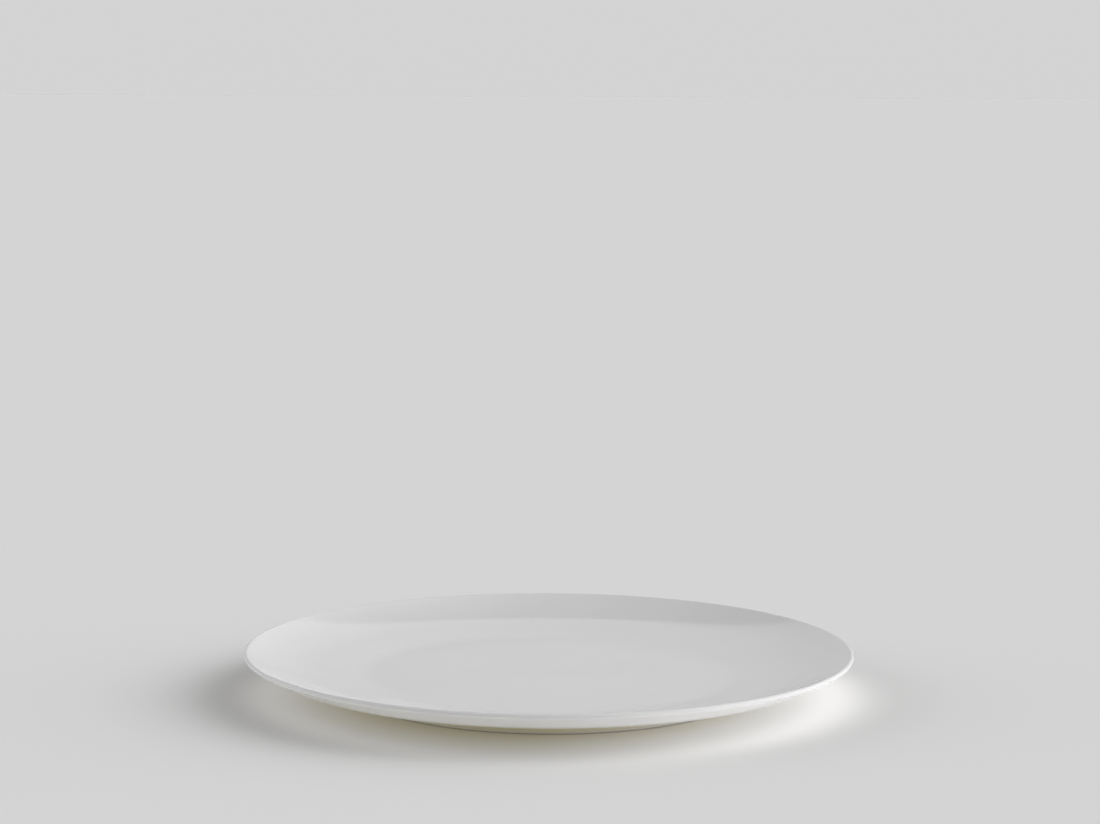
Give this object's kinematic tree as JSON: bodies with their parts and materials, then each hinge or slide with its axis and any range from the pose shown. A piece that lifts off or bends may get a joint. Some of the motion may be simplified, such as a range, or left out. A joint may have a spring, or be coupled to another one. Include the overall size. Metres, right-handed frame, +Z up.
{
  "type": "dessert plate",
  "caption": "Round white coupe dessert plate: flat well, soft bend, wall curving up to a thin round lip, low foot ring with a bare standing edge, glazed all over but there.",
  "frame": {"origin": "on the table under the middle of the plate, in the plane of the standing edge", "axes": "+Z up along the plate's axis; +X and +Y lie in the table and are alike, since the plate is round"},
  "size_m": [0.21, 0.21, 0.0154],
  "materials": {
    "bare_porcelain": "fired and unglazed, fine matte grain",
    "white_glaze": "smooth glossy white glaze",
    "base_glaze": "glossy white glaze, pooled a little thicker in the corner"
  },
  "bodies": {
    "root": {"porcelain_body": "bare_porcelain", "glaze_coat": "white_glaze", "base_glaze": "base_glaze"}
  },
  "joints": []
}
